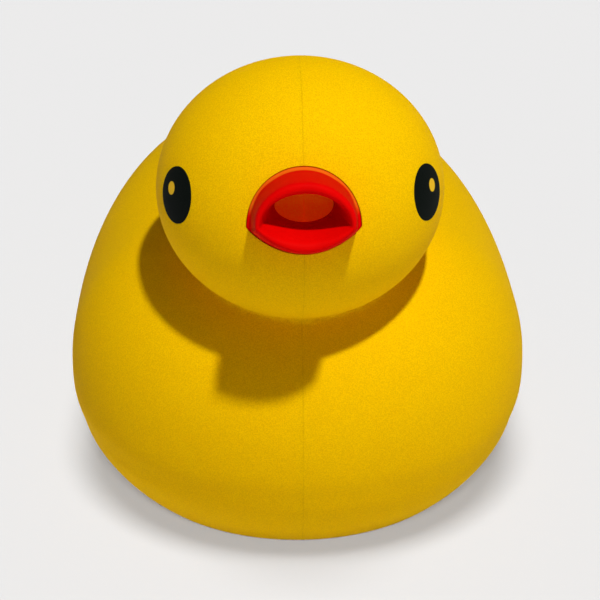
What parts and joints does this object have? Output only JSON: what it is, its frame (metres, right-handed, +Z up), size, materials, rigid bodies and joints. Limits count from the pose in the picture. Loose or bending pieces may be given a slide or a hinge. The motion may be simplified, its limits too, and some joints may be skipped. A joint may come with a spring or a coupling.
{
  "type": "floating chlorine dispenser",
  "caption": "Duck-shaped floating pool chlorine dispenser: hollow float, open bill, telescoping slotted tablet canister, turning vent collar and screw cap in the belly.",
  "frame": {"origin": "on the floor under the middle of the object's box", "axes": "+Z up, the duck looks along -Y, +X is its left side"},
  "size_m": [0.2, 0.2413, 0.2061],
  "materials": {
    "duck_yellow": "fine matte moulded",
    "bill_red": "satin moulded",
    "eye_black": "satin",
    "white_plastic": "satin moulded",
    "blue_plastic": "satin moulded",
    "seal_rubber": "matt",
    "stainless": "turned",
    "ballast_iron": "coated"
  },
  "bodies": {
    "float": {"shell_left": "duck_yellow", "shell_right": "duck_yellow", "bill": "bill_red", "eye_left": "eye_black", "eye_right": "eye_black", "well_housing": "white_plastic", "flange_gasket": "seal_rubber", "base_ring": "white_plastic", "base_screw_1": "stainless", "base_screw_2": "stainless", "base_screw_3": "stainless", "base_screw_4": "stainless", "base_screw_5": "stainless", "base_screw_6": "stainless", "ballast_ring": "ballast_iron", "tether_bracket": "white_plastic", "tether_screw_left": "stainless", "tether_screw_right": "stainless"},
    "canister_body": {"canister_sleeve": "white_plastic", "canister_head": "white_plastic", "canister_oring": "seal_rubber"},
    "collar_body": {"vent_collar": "blue_plastic"},
    "tray_body": {"tablet_tray": "white_plastic"},
    "cap_body": {"bottom_cap": "blue_plastic"},
    "tether_ring_body": {"tether_ring": "stainless"}
  },
  "joints": [
    {"name": "canister_slide", "type": "slide", "parent": "float", "child": "canister_body", "axis": [0, 0, -1], "range_m": [0, 0.055]},
    {"name": "vent_turn", "type": "hinge", "parent": "canister_body", "child": "collar_body", "pos_m": [0, 0, 0.03], "axis": [0, 0, 1], "range_deg": [0, 30]},
    {"name": "tray_drop", "type": "slide", "parent": "canister_body", "child": "tray_body", "axis": [0, 0, -1], "range_m": [0, 0.006]},
    {"name": "cap_turn", "type": "hinge", "parent": "tray_body", "child": "cap_body", "pos_m": [0, 0, 0.006], "axis": [0, 0, -1], "range_deg": [0, 180]},
    {"name": "tether_swing", "type": "hinge", "parent": "float", "child": "tether_ring_body", "pos_m": [0, 0.1097, 0.02875], "axis": [1, 0, 0], "range_deg": [-15, 80]}
  ],
  "couplings": [
    {"joint": "tray_drop", "follows": "cap_turn", "m_per_rad": 0.0019099}
  ]
}
